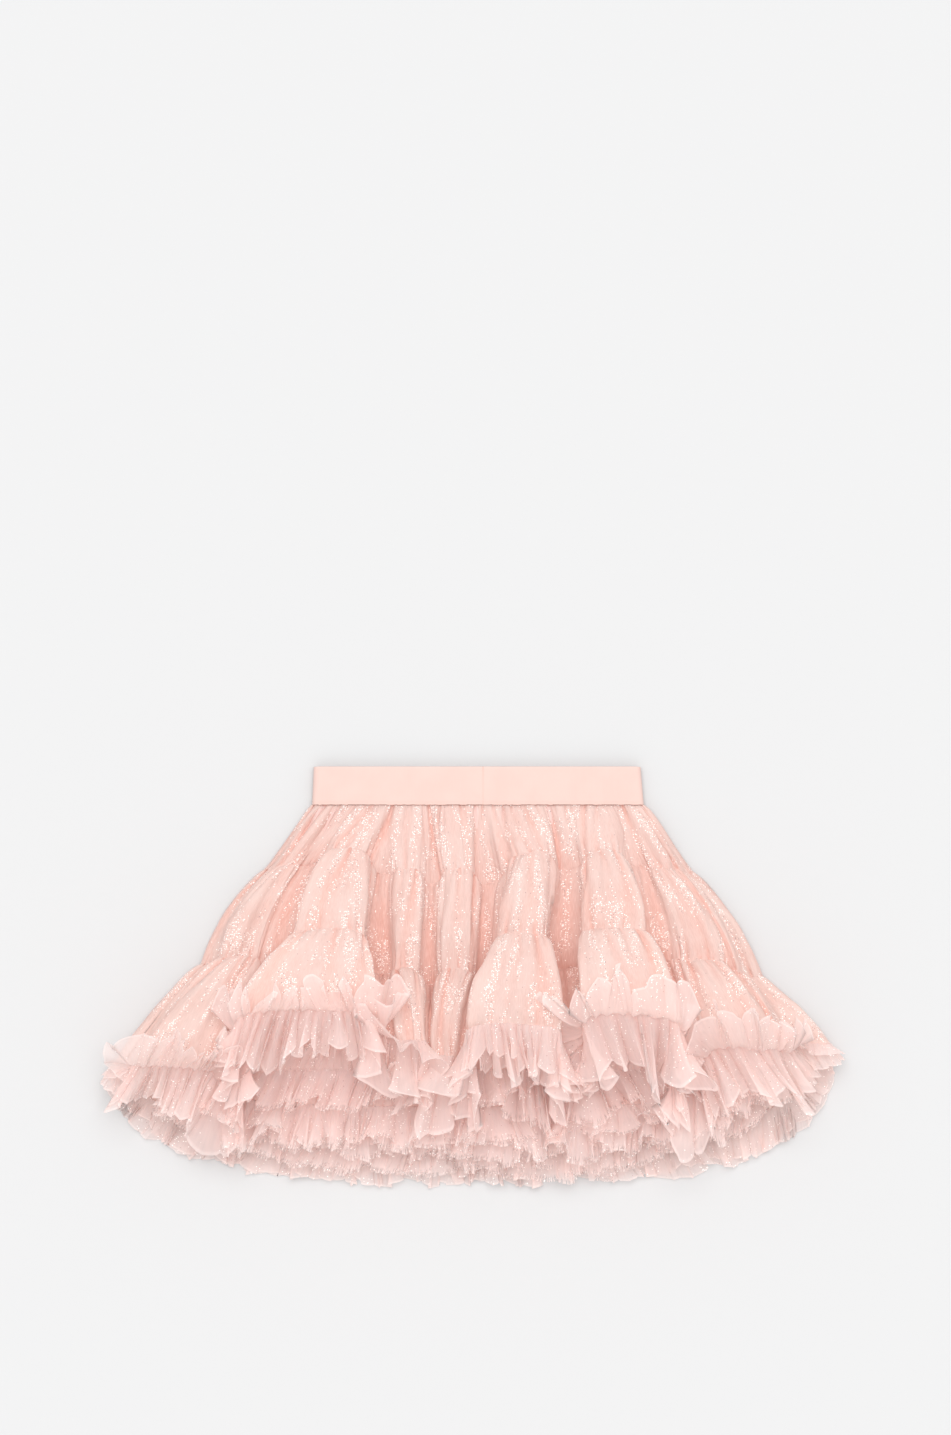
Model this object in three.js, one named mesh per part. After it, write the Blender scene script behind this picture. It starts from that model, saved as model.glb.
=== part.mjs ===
// A child's tulle skirt laid flat on its back: an elastic waistband, three gathered tiers whose
// front stands up in tall flutes, two petticoat layers inside them, and a ruffle on every hem.
// Millimetres. X is across the skirt, the waist is towards +Y, the hems towards -Y and +Z is up.
// Every layer is a tube pressed flat, so its front lies above its back and the two meet in a side fold.
import * as THREE from "three";

// Driving sizes of the cloth and of the seams
const TULLE_WALL = 1.1;
const ELASTIC_WALL = 2.2;
const SEAM_GAP = 0.3;
const RUFFLE_GAP = 0.9;
const BAND_DEPTH = 30;
const WAIST_HALF = 130;
const RUFFLE_DEPTH = 30;

// A layer's sections down the skirt, counted from the waistband: each seam is a whole number
const WAIST = 0;
const UPPER_SEAM = 1;
const HEM = 3;
const SECTIONS = ["waist", "upper", "lower", "hem"];

// The layers lie on each other at the waist, one cloth and one seam gap apart
const PLY = TULLE_WALL + SEAM_GAP;
const FLOOR_RISE = TULLE_WALL / 2;
const plyRise = (number) => FLOOR_RISE + number * PLY;
const STACK_HEIGHT = 5 * PLY + TULLE_WALL;

// The large folds of the outer front, left to right, crest and valley in turn.
// Each seam's columns: place across, drop below the top of the waistband, rise above the floor.
const FRONT_FOLDS = [
  { fold: "left edge", waist: -130, upper: [-167, 81, 9], lower: [-216, 156, 13], hem: [-279, 233, 24] },
  { fold: "left panel", waist: -117, upper: [-150, 78, 18], lower: [-186, 149, 28], hem: [-235, 234, 48] },
  { fold: "left valley", waist: -101, upper: [-134, 78, 12], lower: [-164, 156, 21], hem: [-202, 251, 41] },
  { fold: "left flute", waist: -82, upper: [-101, 64, 25], lower: [-114, 127, 52], hem: [-128, 188, 78] },
  { fold: "valley", waist: -66, upper: [-74, 84, 13], lower: [-74, 164, 23], hem: [-68, 210, 56] },
  { fold: "narrow flute", waist: -52, upper: [-54, 80, 21], lower: [-57, 159, 35], hem: [-50, 213, 62] },
  { fold: "valley", waist: -39, upper: [-37, 92, 12], lower: [-38, 172, 20], hem: [-38, 224, 49] },
  { fold: "narrow flute", waist: -23, upper: [-17, 80, 22], lower: [-17, 159, 36], hem: [-28, 226, 54] },
  { fold: "valley", waist: 2, upper: [8, 92, 12], lower: [4, 168, 21], hem: [-16, 230, 45] },
  { fold: "middle flute", waist: 29, upper: [42, 67, 27], lower: [34, 130, 55], hem: [26, 200, 82] },
  { fold: "valley", waist: 62, upper: [72, 82, 13], lower: [66, 158, 23], hem: [72, 230, 46] },
  { fold: "right flute", waist: 94, upper: [97, 65, 27], lower: [106, 126, 54], hem: [122, 193, 82] },
  { fold: "right valley", waist: 112, upper: [130, 79, 13], lower: [146, 151, 24], hem: [166, 256, 43] },
  { fold: "right panel", waist: 120, upper: [146, 80, 19], lower: [176, 152, 31], hem: [210, 220, 53] },
  { fold: "right valley", waist: 126, upper: [158, 82, 13], lower: [202, 160, 22], hem: [240, 222, 41] },
  { fold: "right edge", waist: 130, upper: [168, 83, 9], lower: [222, 166, 13], hem: [272, 219, 24] },
];

// The plain halves of the layers: each section's reach to the left and right fold, its drop and
// rise at the two folds, and its drop and rise at the middle.
const HALF_COLUMNS = ["left", "right", "leftDrop", "rightDrop", "edgeRise", "drop", "rise"];
const HALVES = {
  outerBack: {
    waist: [130, 130, 0, 0, plyRise(0), 0, plyRise(0)],
    upper: [167, 168, 81, 83, plyRise(0), 100, plyRise(0)],
    lower: [216, 222, 156, 166, plyRise(0), 190, plyRise(0)],
    hem: [279, 272, 233, 219, plyRise(0), 302, plyRise(0)],
  },
  middleBack: {
    waist: [128, 128, 0, 0, plyRise(1), 0, plyRise(1)],
    upper: [160, 160, 83, 84, plyRise(1), 99, plyRise(1)],
    lower: [200, 200, 160, 162, 2.6, 187, 2.6],
    hem: [240, 232, 246, 238, 9, 294, 9],
  },
  middleFront: {
    waist: [128, 128, 0, 0, plyRise(4), 0, plyRise(4)],
    upper: [160, 160, 83, 84, 7.4, 92, 8],
    lower: [200, 200, 160, 162, 11, 168, 15],
    hem: [240, 232, 246, 238, 21, 238, 34],
  },
  innerBack: {
    waist: [126, 126, 0, 0, plyRise(2), 0, plyRise(2)],
    upper: [153, 153, 85, 86, plyRise(2), 97, plyRise(2)],
    lower: [184, 184, 164, 165, 4.6, 182, 5.2],
    hem: [200, 195, 258, 252, 14, 281, 17],
  },
  innerFront: {
    waist: [126, 126, 0, 0, plyRise(3), 0, plyRise(3)],
    upper: [153, 153, 85, 86, 5.4, 95, 5.8],
    lower: [184, 184, 164, 165, 7.4, 175, 10.5],
    hem: [200, 195, 258, 252, 19, 268, 26],
  },
};

// How each tier swells between its seams: outwards at the side folds, and up at the front
const TIER_SPREAD = [0, 8, 4];
const TIER_SWELL = [1.5, 5, 7];
// A tier opens soon after its seam: 1 is a straight flare, more is a bell
const TIER_BELL = [1, 1.25, 1.5];
// Powers: how fast the swell fades towards the side folds of the front, how square a plain half's
// hem and rise are at its sides, and how near its sides it spreads outwards
const EDGE_FALLOFF = 3;
const HEM_SQUARENESS = 3;
const RISE_SQUARENESS = 4;
const SPREAD_FALLOFF = 6;

// Gathers of the front below the waistband and below the upper seam
const GATHERS = 22.5;
const GATHER_RISE = 1.4;
const GATHER_FADE = 0.35;

// Ruffles: waves round the front and the back, height of a wave, and how far the edge droops
const RUFFLES = {
  outer: { frontWaves: 54, backWaves: 17, wave: 3.2 },
  middle: { frontWaves: 30, backWaves: 14, wave: 2.9 },
  inner: { frontWaves: 24, backWaves: 13, wave: 2.7 },
};
const POINTS_PER_WAVE = 4;
const RUFFLE_ROWS = [0, 0.5, 1];
// A ruffle flows on from its tier (0) and leans towards square off its hem (more)
const RUFFLE_LEAN = 0.7;
const DROOP_FROM = 36;
const DROOP_SHARE = 0.25;

// How finely the walls are cut
const POINTS_PER_FOLD = 6;
const BACK_POINTS = 24;
const PETTICOAT_FRONT_POINTS = 36;
const PETTICOAT_BACK_POINTS = 16;
const TIER_STEPS = [2, 3, 3];
const PETTICOAT_STEPS = 5;
const NORMAL_STEP = 0.05;
const FOLD_ROUNDNESS = 0.3;

const COLOURS = { elastic: 0xfbdcd0, tulle: 0xf7cdc3, petticoat: 0xf3c2ba };

const { lerp, clamp, smoothstep } = THREE.MathUtils;
const ease = (t) => (1 - Math.cos(Math.PI * t)) / 2;

// The section above a place down the skirt, how far the place is below it, and the tier's bell
function tierAt(down) {
  const tier = clamp(Math.floor(down), WAIST, HEM - 1);
  const along = down - tier;
  const opened = 1 - Math.pow(Math.max(1 - along, 0), TIER_BELL[tier]);
  const swell = Math.sin(Math.PI * clamp(along, 0, 1));
  return { tier, along: clamp(opened, -NORMAL_STEP, 1 + NORMAL_STEP), swell };
}

// One section's columns at a fold of the outer front
function foldColumns(fold, section) {
  const row = FRONT_FOLDS[fold];
  return section === WAIST ? [row.waist, BAND_DEPTH, plyRise(5)] : row[SECTIONS[section]];
}

// A point of the outer front's middle surface. across is 0 at the left fold and 1 at the right.
function outerFront(across, down) {
  const place = across * (FRONT_FOLDS.length - 1);
  const fold = Math.min(Math.floor(place), FRONT_FOLDS.length - 2);
  const between = place - fold;
  const { tier, along, swell } = tierAt(down);
  const [top, bottom] = [tier, tier + 1].map((section) => {
    const from = foldColumns(fold, section);
    const to = foldColumns(fold + 1, section);
    return [
      lerp(from[0], to[0], between),
      lerp(from[1], to[1], ease(between)),
      lerp(from[2], to[2], ease(between)),
    ];
  });
  const inward = Math.pow(Math.abs(2 * across - 1), EDGE_FALLOFF);
  const x = lerp(top[0], bottom[0], along);
  const gatherPull = Math.sin(Math.PI * clamp(down / (UPPER_SEAM + GATHER_FADE), 0, 1));
  const gather = GATHER_RISE * gatherPull * Math.sin(2 * Math.PI * GATHERS * across);
  return new THREE.Vector3(
    x + Math.sign(x) * TIER_SPREAD[tier] * swell * inward,
    -lerp(top[1], bottom[1], along),
    lerp(top[2], bottom[2], along) + TIER_SWELL[tier] * swell * (1 - inward) + gather,
  );
}

// A point of a plain half's middle surface. across is 0 at the left fold and 1 at the right.
function plainHalf(name, across, down) {
  const side = Math.sin(Math.PI * (across - 0.5));
  const { tier, along, swell } = tierAt(down);
  const [top, bottom] = [tier, tier + 1].map((section) => {
    const row = HALVES[name][SECTIONS[section]];
    const size = Object.fromEntries(HALF_COLUMNS.map((column, i) => [column, row[i]]));
    const waistDrop = section === WAIST ? BAND_DEPTH : 0;
    const edgeDrop = lerp(size.leftDrop, size.rightDrop, across);
    const hemArc = Math.sqrt(1 - Math.pow(Math.abs(side), HEM_SQUARENESS));
    const riseArc = Math.sqrt(1 - Math.pow(Math.abs(side), RISE_SQUARENESS));
    return [
      side * (side < 0 ? size.left : size.right),
      waistDrop + lerp(edgeDrop, size.drop, hemArc),
      lerp(size.edgeRise, size.rise, riseArc),
    ];
  });
  const x = lerp(top[0], bottom[0], along);
  return new THREE.Vector3(
    x + Math.sign(x) * TIER_SPREAD[tier] * swell * Math.pow(Math.abs(side), SPREAD_FALLOFF),
    -lerp(top[1], bottom[1], along),
    lerp(top[2], bottom[2], along),
  );
}

// The layers: a front, a back and how many steps each takes round the tube
const LAYERS = {
  outer: {
    front: outerFront,
    back: (across, down) => plainHalf("outerBack", across, down),
    frontSteps: POINTS_PER_FOLD * (FRONT_FOLDS.length - 1),
    backSteps: BACK_POINTS,
  },
  middle: {
    front: (across, down) => plainHalf("middleFront", across, down),
    back: (across, down) => plainHalf("middleBack", across, down),
    frontSteps: PETTICOAT_FRONT_POINTS,
    backSteps: PETTICOAT_BACK_POINTS,
  },
  inner: {
    front: (across, down) => plainHalf("innerFront", across, down),
    back: (across, down) => plainHalf("innerBack", across, down),
    frontSteps: PETTICOAT_FRONT_POINTS,
    backSteps: PETTICOAT_BACK_POINTS,
  },
};

// The rounded point of a side fold, between the end of the front and the end of the back
function sideFold(front, back, side) {
  const reach = FOLD_ROUNDNESS * (front.z - back.z);
  return front.clone().lerp(back, 0.5).add(new THREE.Vector3(side * reach, 0, 0));
}

// The closed ring of a layer at one place down the skirt: front, right fold, back, left fold
function ringOf(layer, down) {
  const places = (steps) => Array.from({ length: steps + 1 }, (_, i) => i / steps);
  const front = places(layer.frontSteps).map((across) => layer.front(across, down));
  const back = places(layer.backSteps).map((across) => layer.back(1 - across, down));
  return [...front, sideFold(front.at(-1), back[0], 1), ...back, sideFold(front[0], back.at(-1), -1)];
}

// Outward normals of a row of points, from its neighbours round the ring and from the rows above and below
function normalsOf(row, above, below) {
  const count = row.length;
  return row.map((_, i) => {
    const round = row[(i + 1) % count].clone().sub(row[(i + count - 1) % count]);
    const downwards = below[i].clone().sub(above[i]);
    return downwards.cross(round).normalize();
  });
}

// A row of the wall: the middle points moved out and in by half the wall, and never below the floor
function bothFaces(points, normals, wall) {
  const moved = (way) =>
    points.map((p, i) => {
      const q = p.clone().addScaledVector(normals[i], (way * wall) / 2);
      return q.setZ(Math.max(q.z, 0));
    });
  return { outer: moved(1), inner: moved(-1) };
}

// A closed solid from rows of a tube wall, with a rim at each end
function tubeSolid(name, rows, colour) {
  const count = rows[0].outer.length;
  const vertices = rows.flatMap(({ outer, inner }) => [...outer, ...inner]).flatMap((p) => [p.x, p.y, p.z]);
  const outer = (row, i) => 2 * count * row + (i % count);
  const inner = (row, i) => outer(row, i) + count;
  const faces = [];
  const quad = (a, b, c, d) => faces.push(a, b, c, a, c, d);
  const last = rows.length - 1;
  for (let i = 0; i < count; i += 1) {
    for (let row = 0; row < last; row += 1) {
      quad(outer(row, i), outer(row + 1, i), outer(row + 1, i + 1), outer(row, i + 1));
      quad(inner(row, i), inner(row, i + 1), inner(row + 1, i + 1), inner(row + 1, i));
    }
    quad(outer(0, i), outer(0, i + 1), inner(0, i + 1), inner(0, i));
    quad(outer(last, i), inner(last, i), inner(last, i + 1), outer(last, i + 1));
  }
  const geometry = new THREE.BufferGeometry();
  geometry.setAttribute("position", new THREE.Float32BufferAttribute(vertices, 3));
  geometry.setIndex(faces);
  geometry.computeVertexNormals();
  const material = new THREE.MeshStandardMaterial({ color: colour, roughness: 0.85, metalness: 0 });
  const mesh = new THREE.Mesh(geometry, material);
  mesh.name = name;
  return mesh;
}

// Directions in the cloth, square to a seam or hem and away from the waist
function offTheHem({ points, normals }) {
  const count = points.length;
  return normals.map((normal, i) => {
    const round = points[(i + 1) % count].clone().sub(points[(i + count - 1) % count]);
    return round.cross(normal).normalize();
  });
}

// One tier of a layer from one section to another, with half a seam gap at each end
function tierRows(layer, from, to, steps) {
  const rows = [];
  for (let step = 0; step <= steps; step += 1) {
    const down = lerp(from, to, step / steps);
    const above = ringOf(layer, Math.max(down - NORMAL_STEP, WAIST));
    const below = ringOf(layer, Math.min(down + NORMAL_STEP, HEM));
    const points = ringOf(layer, down);
    const normals = normalsOf(points, above, below);
    if (down === WAIST) normals.forEach((normal) => normal.setY(0).normalize());
    const gapSide = step === 0 ? 1 : step === steps ? -1 : 0;
    const off = offTheHem({ points, normals });
    points.forEach((p, i) => p.addScaledVector(off[i], (gapSide * SEAM_GAP) / 2));
    rows.push({ points, normals, ...bothFaces(points, normals, TULLE_WALL) });
  }
  return rows;
}

// Where a layer's ruffle is sewn on: places along the hem's polygon, closer together on the front.
// The place nearest each corner of the hem is moved onto it, so that the ruffle cuts no corner.
function ruffleRoots(layer, hem, ruffle) {
  const count = hem.points.length;
  const isFront = (i) => i <= layer.frontSteps;
  const lengths = hem.points.map((p, i) => p.distanceTo(hem.points[(i + 1) % count]));
  const total = (front) => lengths.reduce((sum, l, i) => sum + (isFront(i) === front ? l : 0), 0);
  const waves = lengths.map(
    (l, i) => l * (isFront(i) ? ruffle.frontWaves / total(true) : ruffle.backWaves / total(false)),
  );
  const samples = (ruffle.frontWaves + ruffle.backWaves) * POINTS_PER_WAVE;
  const roots = [];
  const corners = [];
  let segment = 0;
  let passed = 0;
  for (let sample = 0; sample < samples; sample += 1) {
    const wanted = sample / POINTS_PER_WAVE;
    while (passed + waves[segment] <= wanted) {
      passed += waves[segment];
      segment += 1;
      corners.push({ sample: Math.round(passed * POINTS_PER_WAVE), segment });
    }
    roots.push({ segment, share: (wanted - passed) / waves[segment] });
  }
  for (const corner of corners) roots[corner.sample % samples] = { segment: corner.segment, share: 0 };
  return roots.map((root, sample) => ({
    ...root,
    next: (root.segment + 1) % count,
    phase: sample / POINTS_PER_WAVE,
  }));
}

// A ruffle: its root follows the hem's polygon, and its waves grow to the free edge
function ruffleRows(layer, hem, above, ruffle) {
  const roots = ruffleRoots(layer, hem, ruffle);
  const at = (points, { segment, next, share }) => points[segment].clone().lerp(points[next], share);
  const rootPoints = roots.map((root) => at(hem.points, root));
  const rootNormals = roots.map((root) => at(hem.normals, root));
  const hemOff = offTheHem(hem);
  const off = roots.map((root) => at(hemOff, root));
  const flows = roots.map((root, i) => {
    const tierFlow = rootPoints[i].clone().sub(at(above, root)).normalize();
    return tierFlow.addScaledVector(off[i], RUFFLE_LEAN).setZ(0).normalize();
  });
  const sewn = rootPoints.map((p, i) => p.clone().addScaledVector(off[i], RUFFLE_GAP));
  const rowAt = (share) =>
    sewn.map((root, i) => {
      const droop = DROOP_SHARE * Math.max(root.z - DROOP_FROM, 0);
      const wave = ruffle.wave * smoothstep(share, 0, 1);
      const raised = wave * Math.sin(2 * Math.PI * roots[i].phase);
      const p = root.clone().addScaledVector(flows[i], RUFFLE_DEPTH * share);
      p.addScaledVector(rootNormals[i], raised);
      return p.setZ(p.z + wave - droop * share * share);
    });
  return RUFFLE_ROWS.map((share) => {
    const points = rowAt(share);
    const normals =
      share === 0
        ? rootNormals
        : normalsOf(points, rowAt(share - NORMAL_STEP), rowAt(share + NORMAL_STEP));
    return { points, normals, ...bothFaces(points, normals, TULLE_WALL) };
  });
}

// The elastic waistband: a flattened loop with rounded side folds
function waistband() {
  const height = STACK_HEIGHT;
  const outline = (inset) => {
    const half = WAIST_HALF - inset + TULLE_WALL / 2 + SEAM_GAP;
    const radius = height / 2 - inset;
    const corner = (side, turn) => {
      const angle = (Math.PI / 2) * turn;
      return new THREE.Vector2(
        side * (half - radius + radius * Math.cos(angle)),
        height / 2 + radius * Math.sin(angle),
      );
    };
    const turns = [1, 0.5, 0, -0.5, -1];
    return [...turns.map((turn) => corner(1, turn)), ...turns.toReversed().map((turn) => corner(-1, turn))];
  };
  const rowAt = (y) => {
    const ring = (inset) => outline(inset).map((p) => new THREE.Vector3(p.x, y, p.y));
    return { outer: ring(0), inner: ring(ELASTIC_WALL) };
  };
  return tubeSolid("waistband", [rowAt(0), rowAt(-(BAND_DEPTH - SEAM_GAP))], COLOURS.elastic);
}

// The outer layer's three tiers and its ruffle
function outerLayer() {
  const layer = LAYERS.outer;
  const tiers = TIER_STEPS.map((steps, tier) => tierRows(layer, tier, tier + 1, steps));
  const [upper, middle, lower] = tiers;
  const ruffle = ruffleRows(layer, lower.at(-1), lower.at(-2).points, RUFFLES.outer);
  return [
    tubeSolid("upper_tier", upper, COLOURS.tulle),
    tubeSolid("middle_tier", middle, COLOURS.tulle),
    tubeSolid("lower_tier", lower, COLOURS.tulle),
    tubeSolid("hem_ruffle", ruffle, COLOURS.tulle),
  ];
}

// A petticoat layer and its ruffle
function petticoat(number, layer, ruffle) {
  const wall = tierRows(layer, WAIST, HEM, PETTICOAT_STEPS);
  const rows = ruffleRows(layer, wall.at(-1), wall.at(-2).points, ruffle);
  return [
    tubeSolid(`petticoat_${number}`, wall, COLOURS.petticoat),
    tubeSolid(`petticoat_ruffle_${number}`, rows, COLOURS.petticoat),
  ];
}

const skirt = new THREE.Group();
skirt.name = "tulle_skirt";
skirt.add(waistband(), ...outerLayer());
skirt.add(...petticoat(1, LAYERS.middle, RUFFLES.middle));
skirt.add(...petticoat(2, LAYERS.inner, RUFFLES.inner));

// The origin is on the floor under the middle of the laid skirt
const middle = new THREE.Box3().setFromObject(skirt).getCenter(new THREE.Vector3());
skirt.position.set(-middle.x, -middle.y, 0);

export default skirt;
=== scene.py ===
"""The looks of a child's tulle skirt laid flat on its back.

An elastic waistband, three gathered tiers of glitter tulle whose front stands up in flutes, two
petticoats inside them, and a ruffle gathered onto every hem. The tables are in millimetres: X from
the middle of the waist, the drop down from the top of the waistband, and the rise above the floor.
"""

import math
from functools import partial

import bpy
import numpy as np
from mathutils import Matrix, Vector


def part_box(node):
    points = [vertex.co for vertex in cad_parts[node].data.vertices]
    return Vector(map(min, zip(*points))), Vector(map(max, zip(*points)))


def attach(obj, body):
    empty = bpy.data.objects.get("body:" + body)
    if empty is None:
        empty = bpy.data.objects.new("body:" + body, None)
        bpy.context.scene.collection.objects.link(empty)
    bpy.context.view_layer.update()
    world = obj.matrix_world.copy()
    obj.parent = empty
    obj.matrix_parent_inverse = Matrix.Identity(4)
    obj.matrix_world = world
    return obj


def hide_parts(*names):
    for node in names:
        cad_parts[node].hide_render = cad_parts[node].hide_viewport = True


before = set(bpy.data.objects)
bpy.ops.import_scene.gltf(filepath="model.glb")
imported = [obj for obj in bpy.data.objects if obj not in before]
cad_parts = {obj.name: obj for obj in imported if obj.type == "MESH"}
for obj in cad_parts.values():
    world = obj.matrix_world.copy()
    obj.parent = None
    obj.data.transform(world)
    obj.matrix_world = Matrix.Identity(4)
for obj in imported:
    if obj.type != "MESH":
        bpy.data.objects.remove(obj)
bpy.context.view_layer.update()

MM = 0.001
WAIST_LOW, WAIST_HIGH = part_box("waistband")
WAIST_MIDDLE = (WAIST_LOW.x + WAIST_HIGH.x) / 2
WAIST_TOP = WAIST_HIGH.y

# Driving sizes, as the part has them
TULLE_WALL = 1.1
SEAM_GAP = 0.3
BAND_DEPTH = 30
WAIST_HALF = 130
RUFFLE_DEPTH = 30
PLY = TULLE_WALL + SEAM_GAP
FLOOR_RISE = TULLE_WALL / 2
STACK_HEIGHT = 5 * PLY + TULLE_WALL
WAIST, UPPER_SEAM, LOWER_SEAM, HEM = 0, 1, 2, 3


def ply_rise(number):
    """The rise of the middle of one of the plies that lie on each other at the waist."""
    return FLOOR_RISE + number * PLY


# The large folds of the outer front, left to right, crest and valley in turn.
# Each seam's columns: place across, drop, rise.
FRONT_FOLDS = (
    # waist, upper seam, lower seam, hem
    (-130, (-167, 81, 9), (-216, 156, 13), (-279, 233, 24)),  # left edge
    (-117, (-150, 78, 18), (-186, 149, 28), (-235, 234, 48)),  # left panel
    (-101, (-134, 78, 12), (-164, 156, 21), (-202, 251, 41)),  # left valley
    (-82, (-101, 64, 25), (-114, 127, 52), (-128, 188, 78)),  # left flute
    (-66, (-74, 84, 13), (-74, 164, 23), (-68, 210, 56)),  # valley
    (-52, (-54, 80, 21), (-57, 159, 35), (-50, 213, 62)),  # narrow flute
    (-39, (-37, 92, 12), (-38, 172, 20), (-38, 224, 49)),  # valley
    (-23, (-17, 80, 22), (-17, 159, 36), (-28, 226, 54)),  # narrow flute
    (2, (8, 92, 12), (4, 168, 21), (-16, 230, 45)),  # valley
    (29, (42, 67, 27), (34, 130, 55), (26, 200, 82)),  # middle flute
    (62, (72, 82, 13), (66, 158, 23), (72, 230, 46)),  # valley
    (94, (97, 65, 27), (106, 126, 54), (122, 193, 82)),  # right flute
    (112, (130, 79, 13), (146, 151, 24), (166, 256, 43)),  # right valley
    (120, (146, 80, 19), (176, 152, 31), (210, 220, 53)),  # right panel
    (126, (158, 82, 13), (202, 160, 22), (240, 222, 41)),  # right valley
    (130, (168, 83, 9), (222, 166, 13), (272, 219, 24)),  # right edge
)

# The plain halves: reach to the left and right fold, drop at the two folds, rise at the folds,
# and drop and rise at the middle, at the waist, the two seams and the hem.
HALVES = {
    "outer back": (
        (130, 130, 0, 0, ply_rise(0), 0, ply_rise(0)),
        (167, 168, 81, 83, ply_rise(0), 100, ply_rise(0)),
        (216, 222, 156, 166, ply_rise(0), 190, ply_rise(0)),
        (279, 272, 233, 219, ply_rise(0), 302, ply_rise(0)),
    ),
    "middle back": (
        (128, 128, 0, 0, ply_rise(1), 0, ply_rise(1)),
        (160, 160, 83, 84, ply_rise(1), 99, ply_rise(1)),
        (200, 200, 160, 162, 2.6, 187, 2.6),
        (240, 232, 246, 238, 9, 294, 9),
    ),
    "middle front": (
        (128, 128, 0, 0, ply_rise(4), 0, ply_rise(4)),
        (160, 160, 83, 84, 7.4, 92, 8),
        (200, 200, 160, 162, 11, 168, 15),
        (240, 232, 246, 238, 21, 238, 34),
    ),
    "inner back": (
        (126, 126, 0, 0, ply_rise(2), 0, ply_rise(2)),
        (153, 153, 85, 86, ply_rise(2), 97, ply_rise(2)),
        (184, 184, 164, 165, 4.6, 182, 5.2),
        (200, 195, 258, 252, 14, 281, 17),
    ),
    "inner front": (
        (126, 126, 0, 0, ply_rise(3), 0, ply_rise(3)),
        (153, 153, 85, 86, 5.4, 95, 5.8),
        (184, 184, 164, 165, 7.4, 175, 10.5),
        (200, 195, 258, 252, 19, 268, 26),
    ),
}

# How far each tier spreads at the sides and swells between its seams, and how soon it opens
TIER_SPREAD = np.array([0, 8, 4])
TIER_SWELL = np.array([1.5, 5, 7])
TIER_BELL = np.array([1, 1.3, 1.7])
# The flutes at the waist, the two seams and the hem: how far they overhang and how wide they stand.
# A fold this tall overhangs fully, and a lower one by its share of it, down to the least.
OVERHANG = np.array([0.1, 1.1, 1.5, 1.5])
FLUTE_WIDTH = np.array([0, 0.02, 0.1, 0.3])
TALL_FOLD, LEAST_OVERHANG = 30, 0.3
FLUTE_FULLNESS = 1.35
FLUTE_SWELL = 0.06
# How far the seams stray up and down, and how often across the front
SEAM_WANDER, SEAM_WANDER_PLACES = 2, 26
# How soon the side folds, the hem's arc and the spread of a tier die away from the edge
EDGE_FALLOFF = 3
HEM_SQUARENESS = 3
RISE_SQUARENESS = 4
SPREAD_FALLOFF = 6
FOLD_ROUNDNESS = 0.3
# The painted shade in the valleys between the flutes: how narrow it is, how many folds from the middle
# the last shaded valley lies, and where down the skirt it starts
VALLEY_SHADE_NARROWNESS, VALLEY_SHADE_REACH, VALLEY_SHADE_START = 4, 6.6, 0.4


def mix(a, b, t):
    return a + (b - a) * t


def ease(t):
    return (1 - np.cos(np.pi * t)) / 2


def wander(place):
    """A slow uneven line between -1 and 1."""
    return (np.sin(place * 1.7) + np.sin(place * 3.9 + 1) + np.sin(place * 7.3 + 2)) / 3


# The layers, as tubes of cloth pressed flat


def tier_at(down):
    """The tier of each place down the skirt, how far down it and how far open, and the tier's swell."""
    tier = np.clip(np.floor(down), WAIST, HEM - 1).astype(int)
    along = np.clip(down - tier, 0, 1)
    opened = 1 - (1 - along) ** TIER_BELL[tier]
    return tier, along, opened, np.sin(np.pi * along)


def outer_front(across, down):
    """Points of the outer front. across is 0 at the left fold and 1 at the right."""
    columns = np.array(
        [[(fold[0], BAND_DEPTH, ply_rise(5)), *fold[1:]] for fold in FRONT_FOLDS], float
    )
    place = across * (len(FRONT_FOLDS) - 1)
    fold = np.clip(np.floor(place), 0, len(FRONT_FOLDS) - 2).astype(int)
    between = place - fold
    tier, fallen, opened, swell = tier_at(down)

    def at(section):
        start, end = columns[fold, section], columns[fold + 1, section]
        tall = np.clip(np.abs(end[..., 2] - start[..., 2]) / TALL_FOLD, LEAST_OVERHANG, 1)
        leant = between + OVERHANG[section] * tall * np.sin(2 * np.pi * between) / (2 * np.pi)
        sunk = np.where(fold % 2, between ** FLUTE_FULLNESS, 1 - (1 - between) ** FLUTE_FULLNESS)
        wide = FLUTE_WIDTH[section] + FLUTE_SWELL * swell
        leant = leant + np.where(fold % 2, 1, -1) * wide * np.sin(np.pi * between)
        sunk = ease(sunk)
        return (
            mix(start[..., 0], end[..., 0], leant),
            mix(start[..., 1], end[..., 1], sunk),
            mix(start[..., 2], end[..., 2], sunk),
        )

    (top_x, top_drop, top_rise), (x, drop, rise) = at(tier), at(tier + 1)
    inward = np.abs(2 * across - 1) ** EDGE_FALLOFF
    x = mix(top_x, x, mix(opened, fallen, inward))
    strayed = SEAM_WANDER * np.minimum(down, 1) * wander(across * SEAM_WANDER_PLACES + down)
    return np.stack(
        [
            x + np.sign(x) * TIER_SPREAD[tier] * swell * inward,
            -mix(top_drop, drop, fallen) - strayed,
            mix(top_rise, rise, opened) + TIER_SWELL[tier] * swell * (1 - inward),
        ],
        -1,
    )


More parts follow.
